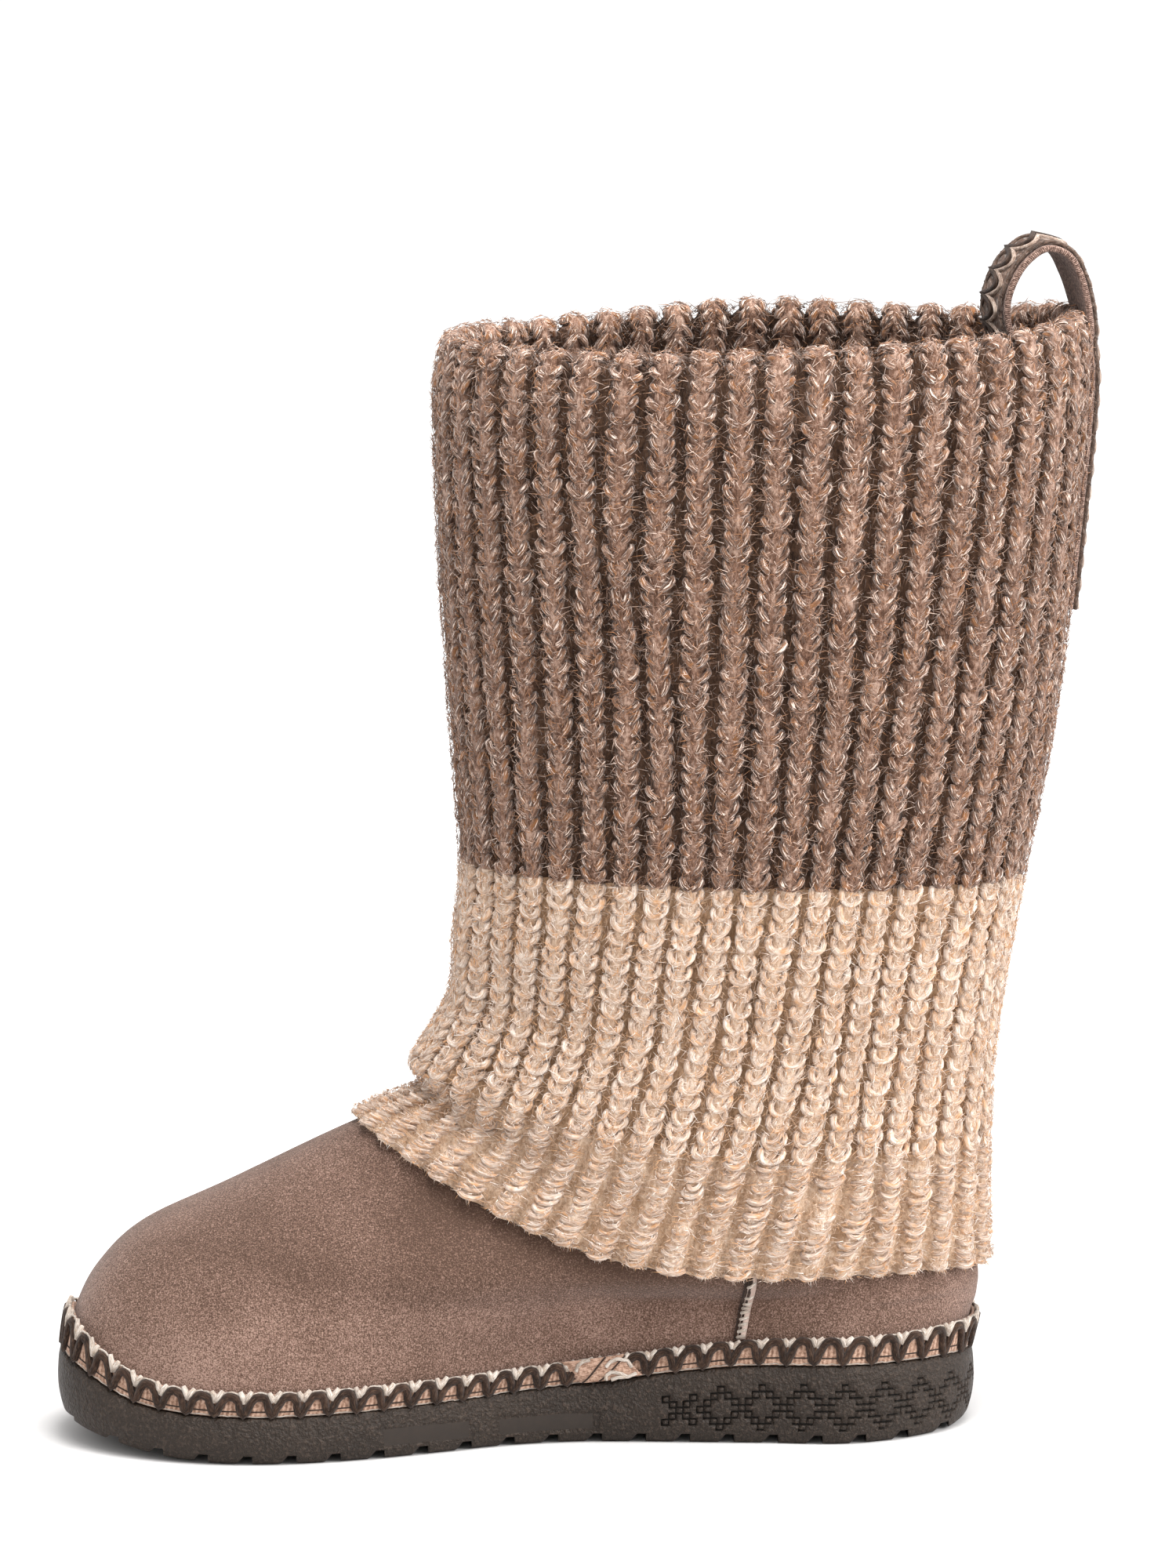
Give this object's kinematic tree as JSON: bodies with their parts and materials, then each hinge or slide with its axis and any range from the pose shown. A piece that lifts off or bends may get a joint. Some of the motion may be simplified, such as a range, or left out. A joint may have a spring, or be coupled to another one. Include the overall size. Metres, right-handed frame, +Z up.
{
  "type": "mukluk boot",
  "caption": "Pull-on winter boot with a suede-cloth foot, two-tone ribbed knit shaft, woven braid over a wedge sole with cross lugs, and a pull loop at the back.",
  "frame": {"origin": "on the floor under the middle of the heel's tread", "axes": "+Z up, toe towards -X, inner (medial) side towards -Y"},
  "size_m": [0.316, 0.1222, 0.3638],
  "materials": {
    "sole": "dark warm grey foamed rubber, fine pebbled, matt",
    "fleece": "short fleece",
    "suede": "taupe faux suede, short nap",
    "knit": "marled brown and cream wool-blend yarn",
    "braid": "woven braid in tan, dark brown and cream",
    "stitching": "cream thread over a raised seam",
    "tape": "plain taupe twill tape"
  },
  "bodies": {
    "root": {"outsole": "sole", "insole": "fleece", "upper": "suede", "knit_shaft": "knit", "braid_band": "braid", "braid_lap": "braid", "side_piping_inner": "stitching", "side_piping_outer": "stitching", "pull_loop": "tape", "pull_loop_braid": "braid"}
  },
  "joints": []
}
